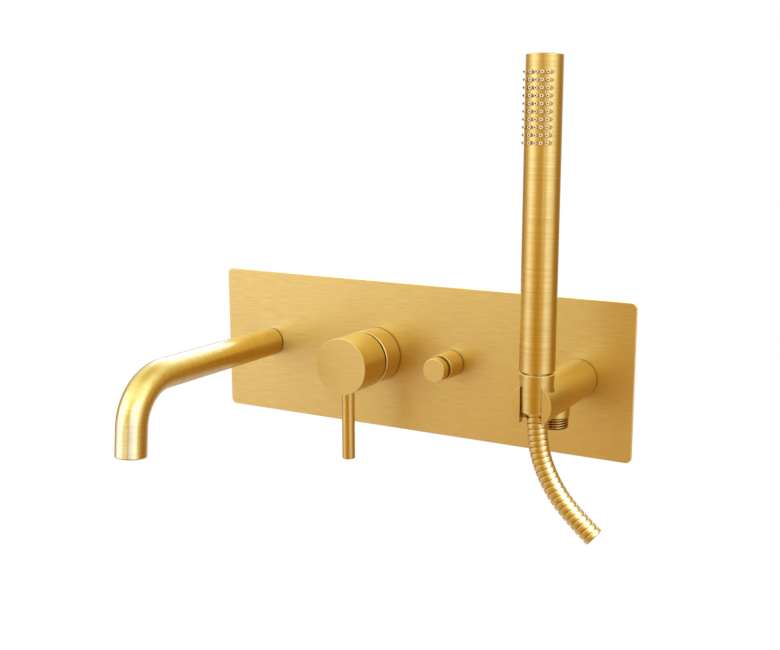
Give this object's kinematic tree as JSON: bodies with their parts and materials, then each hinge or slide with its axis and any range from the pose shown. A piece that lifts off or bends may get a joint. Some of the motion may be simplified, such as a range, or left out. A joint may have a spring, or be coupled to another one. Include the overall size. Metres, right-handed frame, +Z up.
{
  "type": "wall mounted bath faucet",
  "caption": "Wall mounted bath faucet on one rectangular plate: bent spout, lever mixer, push-button diverter and a wand hand shower in a forked arm.",
  "frame": {"origin": "centre of the face plate's back face, on the surface of the finished wall", "axes": "+X along the plate to the right seen from the room, +Y into the wall, +Z up"},
  "size_m": [0.3715, 0.2581, 0.3244],
  "materials": {
    "brushed_gold": "brushed gold, satin",
    "bright_brass": "turned thread, bright",
    "cast_brass": "sand-cast, raw",
    "turned_brass": "turned, raw",
    "pipe_metal": "drawn tube",
    "steel": "stainless, plain",
    "rubber": "black nitrile",
    "silicone": "cream silicone",
    "cartridge_plastic": "moulded",
    "ceramic": "polished ceramic",
    "aerator_plastic": "moulded",
    "liner_plastic": "extruded"
  },
  "bodies": {
    "fixed": {"face_plate": "brushed_gold", "valve_body": "cast_brass", "spout_pipe": "pipe_metal", "shower_pipe": "pipe_metal", "spout_elbow": "cast_brass", "shower_elbow": "cast_brass", "spout_connector": "turned_brass", "spout_o_rings": "rubber", "spout_tube": "brushed_gold", "spout_grub_screw": "steel", "aerator_housing": "aerator_plastic", "aerator_insert": "aerator_plastic", "mixer_sleeve": "brushed_gold", "sleeve_o_ring": "rubber", "cartridge_base": "cartridge_plastic", "cartridge_seals": "rubber", "cartridge_housing": "cartridge_plastic", "fixed_disc": "ceramic", "retaining_nut": "turned_brass", "diverter_bonnet": "turned_brass", "diverter_sleeve": "brushed_gold", "diverter_stem_seal": "rubber", "diverter_spring": "steel", "shower_arm": "brushed_gold", "arm_connector": "turned_brass", "arm_o_rings": "rubber", "arm_grub_screw": "steel", "outlet_nipple": "bright_brass"},
    "mixer_swivel": {"swivel_insert": "cartridge_plastic", "pivot_pin": "steel"},
    "mixer_lever": {"lever_stem": "steel", "handle_cap": "brushed_gold", "lever_pin": "brushed_gold", "handle_grub_screw": "steel"},
    "mixer_disc": {"moving_disc": "ceramic", "disc_carrier": "cartridge_plastic"},
    "diverter": {"diverter_button": "brushed_gold", "diverter_spool": "turned_brass", "diverter_washers": "rubber"},
    "hose": {"hose": "brushed_gold", "hose_liner": "liner_plastic", "hose_ferrule": "turned_brass"},
    "handset": {"wand_tube": "brushed_gold", "wand_cap": "brushed_gold", "spray_mat": "silicone", "wand_coupling": "turned_brass", "hose_nut": "brushed_gold", "hose_washer": "rubber"}
  },
  "joints": [
    {"name": "temperature_turn", "type": "hinge", "parent": "fixed", "child": "mixer_swivel", "pos_m": [-0.034, -0.009, 0], "axis": [0, 1, 0], "range_deg": [-50, 50]},
    {"name": "flow_tilt", "type": "hinge", "parent": "mixer_swivel", "child": "mixer_lever", "pos_m": [-0.034, -0.009, 0], "axis": [-1, 0, 0], "range_deg": [0, 25]},
    {"name": "disc_slide", "type": "slide", "parent": "mixer_swivel", "child": "mixer_disc", "axis": [0, 0, -1], "range_m": [0, 0.0046]},
    {"name": "diverter_push", "type": "slide", "parent": "fixed", "child": "diverter", "axis": [0, 1, 0], "range_m": [0, 0.003], "stiffness_N_per_m": 800, "springref_m": -0.005, "deforming": ["diverter_spring"]},
    {"name": "handset_lift", "type": "slide", "parent": "fixed", "child": "hose", "axis": [0, 0, 1], "range_m": [0, 0.014]},
    {"name": "handset_turn", "type": "hinge", "parent": "hose", "child": "handset", "pos_m": [0.14, -0.08287, 0.1], "axis": [0, 0, 1], "continuous": true}
  ],
  "couplings": [
    {"joint": "disc_slide", "follows": "flow_tilt", "m_per_rad": 0.01017}
  ]
}
